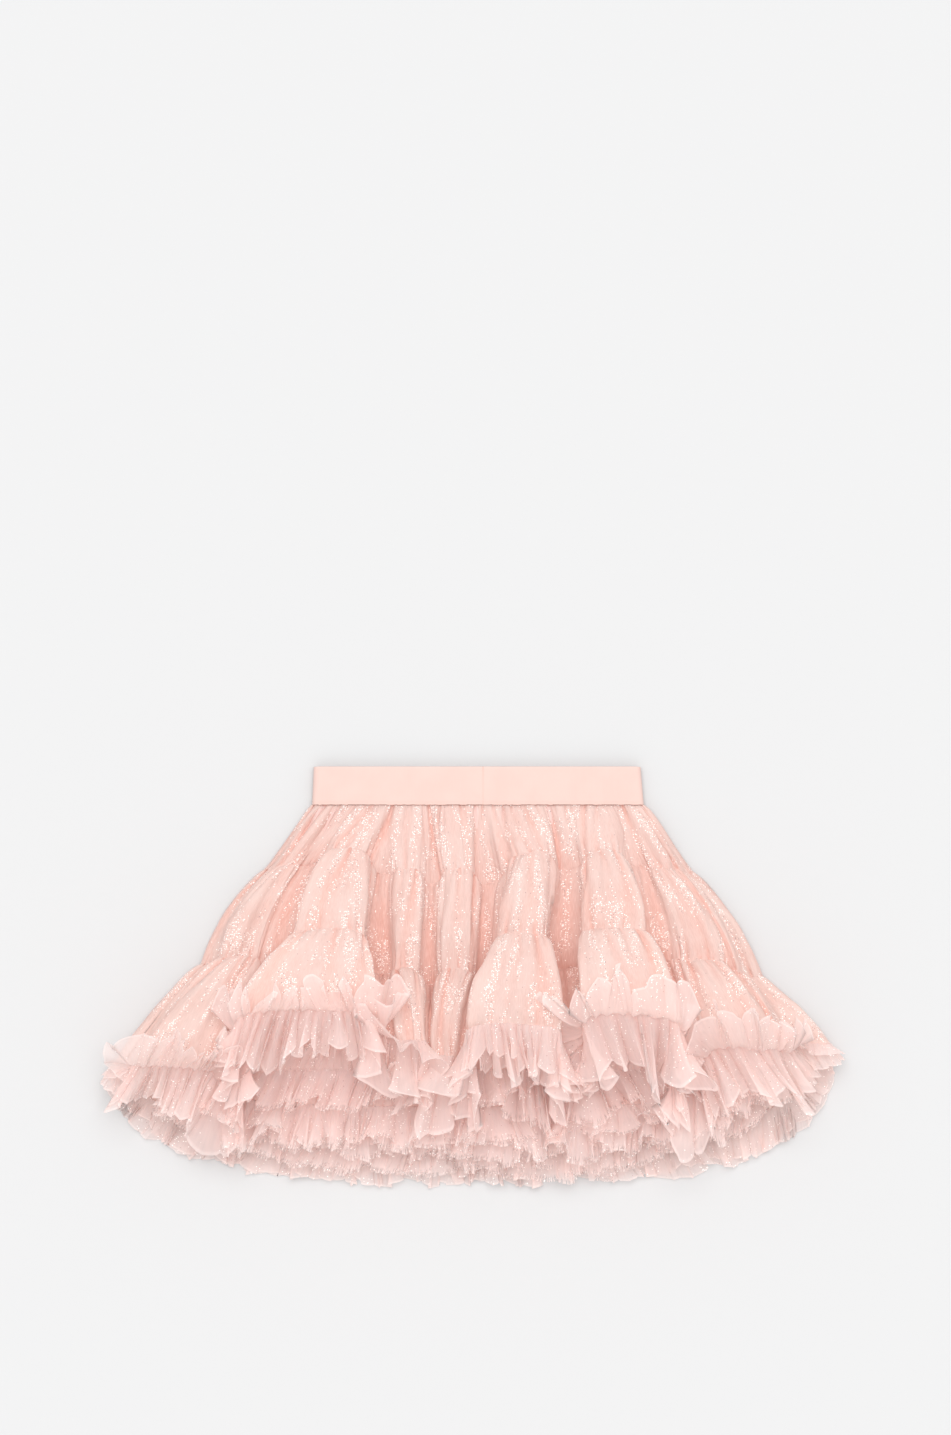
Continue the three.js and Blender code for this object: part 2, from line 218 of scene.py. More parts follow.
def plain_half(name, across, down):
    """Points of a plain half. across is 0 at the left fold and 1 at the right."""
    sizes = np.array(HALVES[name], float)
    side = np.sin(np.pi * (across - 0.5))
    tier, fallen, _, swell = tier_at(down)
    hem_arc = np.sqrt(np.maximum(1 - np.abs(side) ** HEM_SQUARENESS, 0))
    rise_arc = np.sqrt(np.maximum(1 - np.abs(side) ** RISE_SQUARENESS, 0))

    def at(section):
        left, right, left_drop, right_drop, edge_rise, drop, rise = np.moveaxis(sizes[section], -1, 0)
        waist_drop = np.where(section == WAIST, BAND_DEPTH, 0)
        edge_drop = mix(left_drop, right_drop, across)
        return (
            side * np.where(side < 0, left, right),
            waist_drop + mix(edge_drop, drop, hem_arc),
            mix(edge_rise, rise, rise_arc),
        )

    (top_x, top_drop, top_rise), (x, drop, rise) = at(tier), at(tier + 1)
    x = mix(top_x, x, fallen)
    return np.stack(
        [
            x + np.sign(x) * TIER_SPREAD[tier] * swell * np.abs(side) ** SPREAD_FALLOFF,
            -mix(top_drop, drop, fallen),
            mix(top_rise, rise, fallen),
        ],
        -1,
    )


class Layer:
    """A tube of cloth pressed flat: a front and a back that meet in two side folds."""

    FOLD_COLUMNS = 6

    def __init__(self, front, back, front_columns, back_columns, fluted=False):
        self.front = front
        self.back = back
        self.front_columns = front_columns
        self.back_columns = back_columns
        self.fluted = fluted

    def rings(self, downs):
        """Closed rings at each place down the skirt: front, right fold, back, left fold."""
        down = np.asarray(downs, float)[:, None]
        front = self.front(*np.broadcast_arrays(np.linspace(0, 1, self.front_columns)[None], down))
        back = self.back(*np.broadcast_arrays(np.linspace(1, 0, self.back_columns)[None], down))
        right = self.fold(front[:, -1], back[:, 0], 1)
        left = self.fold(back[:, -1], front[:, 0], -1)
        return np.concatenate([front, right, back, left], 1)

    def fold(self, start, end, side):
        """The rounded cloth of a side fold between the ends of two halves."""
        turn = np.pi * (np.arange(self.FOLD_COLUMNS) + 1) / (self.FOLD_COLUMNS + 1)
        middle, half = (start + end) / 2, (start - end) / 2
        reach = FOLD_ROUNDNESS * np.abs(start[:, 2] - end[:, 2])
        outward = np.stack([side * reach, 0 * reach, 0 * reach], -1)
        return (
            middle[:, None]
            + half[:, None] * np.cos(turn)[:, None]
            + outward[:, None] * np.sin(turn)[:, None]
        )

    def valley_shade(self, downs):
        """The painted shade down between the flutes: 1 at the bottom of a valley near the hem."""
        last = len(FRONT_FOLDS) - 1
        place = np.linspace(0, 1, self.front_columns) * last
        between = (1 + np.cos(np.pi * place)) / 2 * (np.abs(place - last / 2) < VALLEY_SHADE_REACH)
        ring = np.concatenate([between, np.zeros(self.FOLD_COLUMNS * 2 + self.back_columns)])
        fallen = np.clip(np.asarray(downs) - VALLEY_SHADE_START, 0, 1)[:, None]
        return ring[None] ** VALLEY_SHADE_NARROWNESS * fallen * self.fluted

    def frontness(self):
        """1 on the front of the ring, 0 on its back, and between them on the side folds."""
        turn = (np.arange(self.FOLD_COLUMNS) + 1) / (self.FOLD_COLUMNS + 1)
        return np.concatenate(
            [np.ones(self.front_columns), 1 - turn, np.zeros(self.back_columns), turn]
        )


def unit(vectors):
    return vectors / np.maximum(np.linalg.norm(vectors, axis=-1, keepdims=True), 1e-9)


def round_steps(rings):
    """The way round the ring at each point, from its two neighbours."""
    return np.roll(rings, -1, 1) - np.roll(rings, 1, 1)


def outward_normals(rings):
    return unit(np.cross(np.gradient(rings, axis=0), round_steps(rings)))


def length_round(ring):
    """The distance round a closed ring to each of its points, and the whole way round."""
    steps = np.linalg.norm(np.roll(ring, -1, 0) - ring, axis=-1)
    return np.concatenate([[0], np.cumsum(steps)[:-1]]), steps.sum()


# Unevenness, all of it from seeded random numbers

# The puffs of cloth between the gathers of a seam: how uneven in width, how round, and how tall
PUFF_SPREAD, PUFF_ROUNDNESS, PUFF_HEIGHTS = 0.75, 0.7, (0.1, 1.25)


def cells(rng, whole, width, spread):
    """Uneven boundaries round a closed ring, about one width apart."""
    count = max(int(round(whole / width)), 3)
    widths = 1 + spread * rng.uniform(-1, 1, count)
    return np.concatenate([[0], np.cumsum(widths)]) / widths.sum() * whole


def puffs(rng, where, whole, width):
    """Gathered cloth along a seam: rounded puffs of uneven width and height, sharp creases between."""
    edges = cells(rng, whole, width, PUFF_SPREAD)
    phase = np.interp(where, edges, np.arange(len(edges)))
    number = np.minimum(phase.astype(int), len(edges) - 2)
    heights = rng.uniform(*PUFF_HEIGHTS, len(edges))
    return heights[number] * np.abs(np.sin(np.pi * phase)) ** PUFF_ROUNDNESS


def crumple(rng, across, down, across_width, down_width):
    """Smooth uneven hills between -1 and 1 over a grid of places, with knots the given widths apart."""
    high, wide = int(down.max() / down_width) + 2, int(across.max() / across_width) + 2
    knots = rng.uniform(-1, 1, (high, wide))
    knots[:, -1] = knots[:, 0]
    x, y = across / across.max() * (wide - 1.001), down / down_width
    i, j = np.floor(y).astype(int), np.floor(x).astype(int)
    s, t = ease(x - j), ease(y - i)
    return mix(mix(knots[i, j], knots[i, j + 1], s), mix(knots[i + 1, j], knots[i + 1, j + 1], s), t)


def drift(rng, where, whole, width):
    """A smooth uneven curve between -1 and 1 round a closed ring, with knots one width apart."""
    count = max(int(round(whole / width)), 4)
    knots = rng.uniform(-1, 1, count)
    place = np.asarray(where) / whole * count
    before = np.floor(place).astype(int)
    t = ease(place - before)
    return mix(knots[before % count], knots[(before + 1) % count], t)


# Meshes


def cloth_mesh(name, grid, around, down, material, shade_and_seams):
    """A tube of cloth from a grid of points in millimetres, whose rows are closed rings.

    Its UV map holds the cloth's own lengths, and the last argument how much painted shade each point takes
    down in the folds; on the elastic, how much of its seam colour.
    """
    rows, columns = grid.shape[:2]
    points = grid.reshape(-1, 3) * MM + np.array([WAIST_MIDDLE, WAIST_TOP, 0])
    points[:, 2] = np.maximum(points[:, 2], 0)
    i, j = np.meshgrid(np.arange(rows - 1), np.arange(columns), indexing="ij")
    right = (j + 1) % columns
    faces = np.stack(
        [i * columns + j, (i + 1) * columns + j, (i + 1) * columns + right, i * columns + right], -1
    ).reshape(-1, 4)
    mesh = bpy.data.meshes.new(name)
    mesh.vertices.add(len(points))
    mesh.vertices.foreach_set("co", points.ravel())
    mesh.loops.add(faces.size)
    mesh.loops.foreach_set("vertex_index", faces.ravel())
    mesh.polygons.add(len(faces))
    mesh.polygons.foreach_set("loop_start", np.arange(0, faces.size, 4))
    mesh.update(calc_edges=True)
    mesh.validate()
    start, end = around[:, :-1], around[:, 1:]
    across = np.stack([start[:-1], start[1:], end[1:], end[:-1]], -1)
    fall = np.stack([down[:-1], down[1:], down[1:], down[:-1]], -1)
    fall = np.broadcast_to(fall[:, None], across.shape)
    layer = mesh.uv_layers.new(name="cloth")
    layer.data.foreach_set("uv", np.stack([across, fall], -1).ravel())
    depths = mesh.attributes.new("shade_and_seams", "FLOAT", "POINT")
    depths.data.foreach_set("value", np.clip(shade_and_seams, 0, 1).ravel())
    mesh.shade_smooth()
    piece = bpy.data.objects.new(name, mesh)
    bpy.context.scene.collection.objects.link(piece)
    piece.data.materials.append(material)
    return piece


def lengths_of(where, whole, rows):
    """The cloth's own length round each row of a mesh, with the last column joined up, in metres."""
    around = np.concatenate([where, [whole]]) * MM
    return np.broadcast_to(around, (rows, len(around)))


def apply_modifiers(piece):
    graph = bpy.context.evaluated_depsgraph_get()
    mesh = bpy.data.meshes.new_from_object(piece.evaluated_get(graph))
    piece.modifiers.clear()
    piece.data = mesh


def dress(piece, node):
    """Puts a piece of cloth in the place of its node."""
    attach(piece, "root")
    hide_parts(node)


# Materials


class Shade:
    """A socket of a material's nodes, on which the usual operators add Math nodes."""

    def __init__(self, graph, socket):
        self.graph = graph
        self.socket = socket

    def _maths(self, operation, *values):
        return self.graph.node("ShaderNodeMath", {"operation": operation}, values)

    def __add__(self, other):
        return self._maths("ADD", self, other)

    def __sub__(self, other):
        return self._maths("SUBTRACT", self, other)

    def __rsub__(self, other):
        return self._maths("SUBTRACT", other, self)

    def __mul__(self, other):
        return self._maths("MULTIPLY", self, other)

    def __lt__(self, other):
        return self._maths("LESS_THAN", self, other)

    def size(self):
        return self._maths("ABSOLUTE", self)

    def smooth(self, low, high):
        """0 below low, 1 above high, and smooth between them."""
        settings = {"interpolation_type": "SMOOTHSTEP"}
        return self.graph.node("ShaderNodeMapRange", settings, (self, low, high, 0, 1))

    __radd__ = __add__
    __rmul__ = __mul__


class Graph:
    """One material's nodes."""

    def __init__(self, name):
        self.material = bpy.data.materials.new(name)
        self.material.use_nodes = True
        self.tree = self.material.node_tree
        self.tree.nodes.clear()

    def node(self, kind, settings=None, values=(), output=0):
        """Adds a node: its type, its settings, then its sockets' values or links by place or name."""
        node = self.tree.nodes.new(kind)
        for key, value in (settings or {}).items():
            setattr(node, key, value)
        pairs = values.items() if isinstance(values, dict) else enumerate(values)
        for key, value in pairs:
            socket = node.inputs[key]
            if isinstance(value, Shade):
                self.tree.links.new(value.socket, socket)
            else:
                socket.default_value = value
        return Shade(self, node.outputs[output])

    def vector(self, operation, *values):
        return self.node("ShaderNodeVectorMath", {"operation": operation}, values)

    def part(self, vector, axis):
        return self.node("ShaderNodeSeparateXYZ", values=(vector,), output=axis)

    def noise(self, place, scale, detail):
        values = {"Vector": place, "Scale": scale, "Detail": detail}
        return self.node("ShaderNodeTexNoise", {"noise_dimensions": "2D"}, values)

    def colour(self, share, first, second):
        """A Mix of two colours. Sockets by place: factor, then the colours as A and B."""
        values = {0: share, 6: first, 7: second}
        return self.node("ShaderNodeMix", {"data_type": "RGBA"}, values, output=2)

    def cloth(self):
        """The cloth's own places, across and down."""
        return self.node("ShaderNodeUVMap", {"uv_map": "cloth"})

    def depth(self):
        """How much painted shade each point takes down in the folds; on the elastic, how much of its seam
        colour.
        """
        return self.node("ShaderNodeAttribute", {"attribute_name": "shade_and_seams"}, output="Fac")

    def finish(self, surface):
        output = self.tree.nodes.new("ShaderNodeOutputMaterial")
        self.tree.links.new(surface.socket, output.inputs["Surface"])
        return self.material


# Colours of the net's threads, the painted highlight on its free edges, the light through it, and the
# painted glints and painted dark reflections of its foil
NET_SHINE = (0.92, 0.76, 0.72, 1)
FREE_EDGE_HIGHLIGHT = (0.98, 0.92, 0.9, 1)
THROUGH_COLOUR = (0.95, 0.68, 0.61, 1)
FOIL_GLINT = (1.0, 0.97, 0.94, 1)
FOIL_DARK_REFLECTION = (0.42, 0.28, 0.27, 1)
FOIL_SPACING = 1.35 * MM
FOIL_RADIUS = 0.4 * MM
# The foil dots: the share painted as glints, the rest painted as dark reflections, and the share of places
# outside the glint patches that still hold a dot
GLINT_SHARE, LOOSE_FOIL = 0.2, 0.03
# Places for each metre of cloth, across and down: of the threads, and of the long patches where the foil
# shows painted glints
THREAD_PLACES = (1500.0, 160.0, 1.0)
GLINT_PATCH_PLACES = (110.0, 22.0, 1.0)
# How far the painted highlight along a free edge reaches, from its start to its full strength, and its
# fraying
EDGE_HIGHLIGHT_BAND = (1.6 * MM, 0.5 * MM)
FRAY_DEPTH = 4 * MM
RIB_SPACING = 0.9 * MM
ELASTIC_COLOURS = ((0.625, 0.44, 0.393, 1), (0.64, 0.455, 0.407, 1))
SEWN_COLOUR = (0.6, 0.36, 0.3, 1)


def foil_glints(g, cloth, share):
    """1 on the foil dots, which lie scattered in long patches of the net where painted glints show, and the
    colour of each: a painted glint on some, a painted dark reflection on the rest.
    """
    settings = {"voronoi_dimensions": "3D"}
    places = g.node("ShaderNodeTexCoord", output="Object")
    scatter = {"Vector": places, "Scale": 1 / FOIL_SPACING, "Randomness": 0.8}
    from_dot = g.node("ShaderNodeTexVoronoi", settings, scatter)
    chance = g.node("ShaderNodeTexVoronoi", settings, scatter, output="Color")
    glint_patches = g.noise(g.vector("MULTIPLY", cloth, GLINT_PATCH_PLACES), 1.0, 1.5).smooth(0.5, 0.62)
    kept = g.part(chance, "Z") < share * glint_patches + LOOSE_FOIL
    dots = (from_dot < FOIL_RADIUS / FOIL_SPACING) * kept
    # Painted glints: a share of the dots near white; painted dark reflections: the rest dark.
    return dots, g.colour(g.part(chance, "X") < GLINT_SHARE, FOIL_GLINT, FOIL_DARK_REFLECTION)


def highlit_free_edge(g, cloth, threads, edge, frayed, net_colour, cover):
    """The net's colour and cover with a painted highlight along its free edge, where the net covers a little
    more, which may be frayed.
    """
    fall = g.part(cloth, "Y").size()
    highlight_band = fall.smooth(edge - EDGE_HIGHLIGHT_BAND[0], edge - EDGE_HIGHLIGHT_BAND[1])
    cover = cover + highlight_band * 0.12
    if frayed:
        cover = cover - fall.smooth(edge - FRAY_DEPTH, edge) * (1 - threads.smooth(0.4, 0.6)) * 0.6
    # Painted highlight: the net paler in the band along its free edge.
    return g.colour(highlight_band * 0.8, net_colour, FREE_EDGE_HIGHLIGHT), cover


def tulle(name, light, shade_and_seams, glitter, through, opacity, edge=None, frayed=False):
    """Fine net: a soft pink cloth that light passes through, with foil dots on it.

    The two colours are the net's own and the painted shade it takes down in its creases, wave valleys and
    the valleys between the flutes; glitter the share of places that hold a foil dot, through the share of
    light that passes, opacity how closely the net covers what is behind it, and edge the drop of a free
    edge, where a painted highlight pales the net.
    """
    g = Graph(name)
    cloth, fold_shade = g.cloth(), g.depth()
    blotches = g.noise(cloth, 28.0, 3.0).smooth(0.3, 0.7)
    threads = g.noise(g.vector("MULTIPLY", cloth, THREAD_PLACES), 1.0, 2.0)
    # Painted shade: the net darkens towards its shade colour down in the creases and valleys; random
    # blotches lean the same way.
    net_colour = g.colour(fold_shade * 0.85 + (1 - blotches) * 0.2, light, shade_and_seams)
    net_colour = g.colour(threads.smooth(0.35, 0.75) * 0.3, net_colour, NET_SHINE)
    cover = threads * 0.12 + (opacity - 0.06)
    if edge is not None:
        net_colour, cover = highlit_free_edge(g, cloth, threads, edge, frayed, net_colour, cover)
    dots, glint_colours = foil_glints(g, cloth, glitter)
    # The foil dots' painted glints and painted dark reflections.
    net_colour = g.colour(dots, net_colour, glint_colours)
    bump = g.node("ShaderNodeBump", values={"Strength": 0.35, "Distance": 0.0004, "Height": threads})
    net = g.node(
        "ShaderNodeBsdfPrincipled",
        values={"Base Color": net_colour, "Roughness": 0.7, "Sheen Weight": 0.25, "Sheen Roughness": 0.4,
                "Specular IOR Level": 0.25, "Normal": bump},
    )
    glow_colour = [(own + light_through) / 2 for own, light_through in zip(light, THROUGH_COLOUR)]
    glow = g.node("ShaderNodeBsdfTranslucent", values={"Color": glow_colour})
    # The painted fold shade also lets less light through the net down in the folds.
    lit_through = (1 - fold_shade * 0.4) * ((1 - dots) * through)
    surface = g.node("ShaderNodeMixShader", values=(lit_through, net, glow))
    open_net = g.node("ShaderNodeBsdfTransparent")
    return g.finish(g.node("ShaderNodeMixShader", values=(cover + dots, open_net, surface)))


def knit_elastic():
    """Smooth knitted elastic: fine upright ribs, a join and a row of stitching near the lower edge."""
    g = Graph("waistband_elastic")
    cloth = g.cloth()
    ribs = g.node(
        "ShaderNodeTexWave", {"wave_type": "BANDS", "bands_direction": "X"},
        {"Vector": cloth, "Scale": 1 / (20 * RIB_SPACING), "Distortion": 0.6, "Detail": 1.0},
    )
    face = g.colour(g.noise(cloth, 40.0, 2.0).smooth(0.3, 0.7), *ELASTIC_COLOURS)
    face = g.colour(g.depth() * 0.7, face, SEWN_COLOUR)
    bump = g.node("ShaderNodeBump", values={"Strength": 0.25, "Distance": 0.0003, "Height": ribs})
    values = {"Base Color": face, "Roughness": 0.8, "Sheen Weight": 0.15, "Normal": bump}
    return g.finish(g.node("ShaderNodeBsdfPrincipled", values=values))


# Each tulle's own colour, then the painted shade colour of its folds, glitter, light through and opacity.
GLITTER_TULLE = tulle("glitter_tulle", (0.845, 0.69, 0.635, 1), (0.75, 0.42, 0.35, 1), 1.0, 0.35, 0.84)
RUFFLE_TULLE = tulle(
    "ruffle_tulle", (0.985, 0.925, 0.91, 1), (0.9, 0.64, 0.6, 1), 0.2, 0.6, 0.64,
    edge=RUFFLE_DEPTH * MM,
)
PETTICOAT_TULLE = tulle("petticoat_tulle", (0.92, 0.74, 0.7, 1), (0.74, 0.4, 0.35, 1), 0.1, 0.4, 0.9)
PETTICOAT_RUFFLE = tulle(
    "petticoat_ruffle_tulle", (0.99, 0.945, 0.935, 1), (0.93, 0.71, 0.685, 1), 0.2, 0.65, 0.64,
    edge=RUFFLE_DEPTH * MM, frayed=True,
)
ELASTIC = knit_elastic()


# The tiers

# Creases that run down from a tier's seam: spacing, depth, shortest and longest, width, and how it widens
SEAM_CREASES = (
    (4.0, 0.8, 3, 9, 0.45, 0.03),
    (10.5, 2.2, 8, 34, 0.9, 0.06),
    (19, 3.6, 40, 150, 1.5, 0.05),
)
# Creases that run up from the seam at its foot: the same columns
FOOT_CREASES = ((6, 1.5, 2, 9, 0.7, 0.06), (13, 2.8, 8, 34, 1.2, 0.07))
# How unevenly creases lie, how far they lean, the faintest, and the crease depth that takes the full painted
# shade
CREASE_SPREAD, CREASE_LEAN, FAINTEST_CREASE, FULL_SHADE_CREASE = 0.6, 0.12, 0.3, 3
# A seam's puffs: their width and rise, how soon they open and fade, and the rise between them
PUFF_WIDTH, PUFF_RISE, PUFF_REACH, PUFF_FADE, PUFF_BASE = 12, 3.2, 6, 36, 0.45
# How far the puffs roll up over the seam, and how near it
PUFF_ROLL, ROLL_REACH = 1, 3
# Gathers of every kind die away this near a seam, so that neighbouring tiers meet
SEAM_REACH = 1.2
# Long soft folds and small crumples, and how far from the upper and the lower seam they are free
LONG_FOLD, LONG_FOLD_WIDTH, LONG_FOLD_LENGTH = 2.6, 11, 70
CRUMPLE, CRUMPLE_WIDTH, CRUMPLE_LENGTH = 0.8, 7, 14
FREE_BELOW, FREE_ABOVE = 12, 5
# The share of all this on the flat back, and on what faces down
BACK_SHARE, UNDERSIDE_SHARE = 0.3, 0.6


def creased(rng, where, whole, fallen, spacing, depth, shortest, longest, width, widening):
    """How deep a seam's creases cut at each place: uneven, each with its own length and lean."""
    edges = cells(rng, whole, spacing, CREASE_SPREAD)
    lengths = rng.uniform(shortest, longest, len(edges))
    strength = rng.uniform(FAINTEST_CREASE, 1, len(edges))
    lean = rng.uniform(-CREASE_LEAN, CREASE_LEAN, len(edges))
    for values in (lengths, strength, lean):
        values[-1] = values[0]
    number = np.clip(np.searchsorted(edges, where), 1, len(edges) - 1)
    number -= where - edges[number - 1] < edges[number] - where
    along = np.asarray(fallen)[:, None]
    apart = where[None] + lean[number] * along - edges[number]
    grown = width + widening * along
    return depth * strength[number] * np.exp(-((apart / grown) ** 2)) * np.exp(-along / lengths[number])


def crowded_ends(first, last, rows):
    """Places from first to last that lie closer together at both ends."""
    share = np.linspace(0, 1, rows)
    return first + (last - first) * (share - 0.12 * np.sin(2 * np.pi * share))


def gathered(rng, layer, downs):
    """A tier's rings with its gathers, its smooth rings, each ring's drop, and the painted shade each point
    takes in the creases.
    """
    smooth = layer.rings(downs)
    normals = outward_normals(smooth)
    where, whole = length_round(smooth[0])
    hem_where, hem_whole = length_round(smooth[-1])
    steps = np.diff(smooth, axis=0)
    fallen = np.concatenate([[0], np.cumsum(np.linalg.norm(steps, axis=-1).mean(1))])
    from_hem = fallen[-1] - fallen
    cuts = sum(creased(rng, where, whole, fallen, *sizes) for sizes in SEAM_CREASES)
    cuts = cuts + sum(creased(rng, hem_where, hem_whole, from_hem, *sizes) for sizes in FOOT_CREASES)
    puff = puffs(rng, where, whole, PUFF_WIDTH)
    opened = (1 - np.exp(-fallen / PUFF_REACH)) * np.exp(-fallen / PUFF_FADE)
    height = PUFF_RISE * opened[:, None] * (PUFF_BASE + puff[None]) - cuts
    across = np.broadcast_to(hem_where[None], height.shape)
    down = np.broadcast_to(fallen[:, None], height.shape)
    free = ((1 - np.exp(-fallen / FREE_BELOW)) * (1 - np.exp(-from_hem / FREE_ABOVE)))[:, None]
    height += LONG_FOLD * free * crumple(rng, across, down, LONG_FOLD_WIDTH, LONG_FOLD_LENGTH)
    height += CRUMPLE * free * crumple(rng, across, down, CRUMPLE_WIDTH, CRUMPLE_LENGTH)
    height *= ((1 - np.exp(-fallen / SEAM_REACH)) * (1 - np.exp(-from_hem / SEAM_REACH)))[:, None]
    front = layer.frontness()
    raised = height * mix(BACK_SHARE, 1, front)
    raised = np.where(normals[..., 2] < 0, -np.abs(raised) * UNDERSIDE_SHARE, raised)
    rolled = fallen / ROLL_REACH * np.exp(1 - fallen / ROLL_REACH)
    roll = PUFF_ROLL * rolled[:, None] * puff * front
    upward = -unit(np.concatenate([steps[:1], steps]))
    grid = smooth + normals * raised[..., None] + upward * roll[..., None]
    # Painted shade: the deeper the crease, the darker.
    return grid, smooth, fallen, cuts / FULL_SHADE_CREASE


def tier(name, node, layer, first, last, rows, seed, material, slot):
    downs = crowded_ends(first, last, rows)
    grid, smooth, fallen, shade_and_seams = gathered(np.random.default_rng(seed), layer, downs)
    # Painted shade: the creases, and down the valleys between the flutes.
    shade_and_seams = np.maximum(shade_and_seams, layer.valley_shade(downs))
    around = lengths_of(*length_round(smooth[rows // 2]), rows)
    dress(cloth_mesh(name, grid, around, fallen * MM, material, shade_and_seams), node)


# The ruffles

# How the hem ruffle lies at each fold of the outer front: how far its upper half is turned back over
# the tier and how far both halves bend up, in degrees, its depth as a share of the strip's, the width
# of its waves, and their height as a share of that width
RUFFLE_LAY = (
    # turned, bend, depth, wave, relief
    (20, 0, 0.55, 7, 0.14),  # left edge
    (160, 5, 0.95, 7, 0.5),  # left panel
    (150, 5, 0.95, 7.5, 0.6),  # left valley
    (160, 5, 0.8, 8, 0.85),  # left flute
    (120, 20, 1.15, 16, 0.5),  # valley
    (60, 40, 1.15, 15, 0.5),  # narrow flute
    (15, 20, 1.0, 12, 0.4),  # valley
    (20, 20, 1.1, 11, 0.5),  # narrow flute
    (0, 5, 1.0, 9, 0.45),  # valley
    (0, -10, 0.9, 6.5, 0.8),  # middle flute
    (10, 5, 1.0, 9, 0.45),  # valley
    (150, 10, 1.15, 10.5, 0.75),  # right flute
    (140, 10, 0.85, 10, 0.55),  # right valley
    (150, 10, 1.0, 9, 0.55),  # right panel
    (130, 10, 0.9, 8, 0.5),  # right valley
    (30, 0, 0.5, 7.5, 0.14),  # right edge
)
# The first petticoat's ruffle, which shows in the mouths of the left and right flutes: the same columns
FIRST_PETTICOAT_LAY = (
    (0, 10, 0.9, 9, 0.4),  # left side
    (0, 22, 0.9, 9, 0.5),
    (155, 10, 0.85, 8, 0.6),  # under the left flute
    (0, 22, 0.95, 10, 0.6),  # under the middle flute
    (150, 10, 0.85, 9, 0.6),  # under the right flute
    (0, 22, 0.9, 9, 0.5),
    (0, 10, 0.9, 9, 0.4),  # right side
)
SECOND_PETTICOAT_LAY = ((0, 22, 0.9, 10, 0.5),)
BACK_LAY = (0, 0, 0.9, 10.5, 0.2)
# The depth of a ruffle at the side folds, as a share of its depth on the back
SIDE_DEPTH = 0.45

# A ruffle's rows and columns of points, and how its rows crowd towards the seam
UPPER_ROWS, UNDER_ROWS, WAVE_COLUMNS = 18, 14, 14
ROW_CROWDING = 1.4
# How unevenly a ruffle lies: by how much each measure strays, and over how many waves
WANDER = {
    "turn": (0.25, 1.8),
    "bend": (0.4, 1.7),
    "long bend": (0.3, 2.9),
    "height": (0.6, 1.3),
    "depth": (0.32, 1.2),
    "long depth": (0.2, 7),
    "lean": (1.3, 4.1),
    "shift": (0.7, 1.6),
    "heave": (0.8, 3.7),
}
# The spread in width of the waves, and the width, spread, height and overhang of the broad ones
WAVE_SPREAD = 0.7
BROAD_WIDTH, BROAD_SPREAD, BROAD_HEIGHT, BROAD_LOOP = 2.6, 0.6, 1.2, 0.35
# How far the waves overhang, stand out at the free edge, and ripple near the seam
LOOP_SHARE, TONGUE, RIPPLE = 0.14, 0.9, 0.22
# A ruffle flatter than this strays less
CALM_RELIEF = 0.3
# The root of a ruffle: the height of its waves there, and how far it is tucked behind the seam
ROOT_HEIGHT, ROOT_TUCK = 0.7, 0.6
# How soon the upper half turns back, and how clear of the tier it then lies
TURN_REACH, TURNED_CLEAR = 0.09, 0.7
# How far the under half hangs inside, and how much painted shade darkens the mouth under a turned ruffle
UNDER_DROP, MOUTH_SHADE = 2, 0.6
# By how much the waves lift a ruffle, and how much painted shade darkens its folds, on the back and on the
# front
LIFTED = (1.0, 0.7)
FOLD_SHADE = (0.3, 0.85)
# How a ruffle leaves its hem: the stretch of tier that gives its direction, its lean and steepest climb
FLOW_SPAN, FLOW_LEAN, FLOW_CLIMB = 0.45, 0.25, 0.1
# How far a ruffle sags from a high hem: the most, the rise where it starts, and the rise over which it grows
SAG, SAG_FROM, SAG_REACH = 0.25, 20, 40
# The rise from which a ruffle is held down, and how much further it may still stand
TALL_FROM, TALL_REACH = 72, 21


def smoothed(values, columns):
    """Values round a closed ring, each the mean of its neighbours."""
    reach = columns // 2
    joined = np.concatenate([values[-reach:], values, values[:reach]])
    kernel = np.hanning(2 * reach + 3)[1:-1]
    kernel /= kernel.sum()
    return np.stack([np.convolve(column, kernel, "valid") for column in joined.T], -1)


def settled(points, lowest):
    """The points with their rise eased, so that none lies below the lowest or stands above the top."""
    over = points[..., 2] - lowest
    rise = lowest + (over + np.sqrt(over ** 2 + 1)) / 2
    tall = np.maximum(rise - TALL_FROM, 0)
    points[..., 2] = np.minimum(rise, TALL_FROM) + TALL_REACH * np.tanh(tall / TALL_REACH)
    return points


def lay_round(layer, front_lay):
    """A ruffle's turn, bend, depth, wave width and relief at each column of a layer's ring."""
    front = np.array(front_lay, float)
    places = np.linspace(0, len(front) - 1, layer.front_columns)
    places = np.floor(places) + ease(ease(places % 1))
    on_front = np.stack([np.interp(places, np.arange(len(front)), column) for column in front.T], -1)
    turn = np.linspace(0, 1, layer.FOLD_COLUMNS)[:, None]
    back = np.tile(np.array(BACK_LAY, float), (layer.back_columns, 1))
    back[:, 2] *= mix(SIDE_DEPTH, 1, np.sin(np.linspace(0, np.pi, layer.back_columns)) ** 0.5)
    right, left = mix(on_front[-1], back[0], turn), mix(back[-1], on_front[0], turn)
    return np.concatenate([on_front, right, back, left])


def rounded(turns):
    """Rounded waves with sharp creases between them, from -1 to 1."""
    return 2 * np.abs(np.sin(turns / 2)) ** 0.8 - 1


def run_along(slope, t):
    """The running total of a slope down the rows at t."""
    steps = (slope[1:] + slope[:-1]) / 2 * np.diff(t, axis=0)
    return np.concatenate([0 * steps[:1], np.cumsum(steps, 0)])


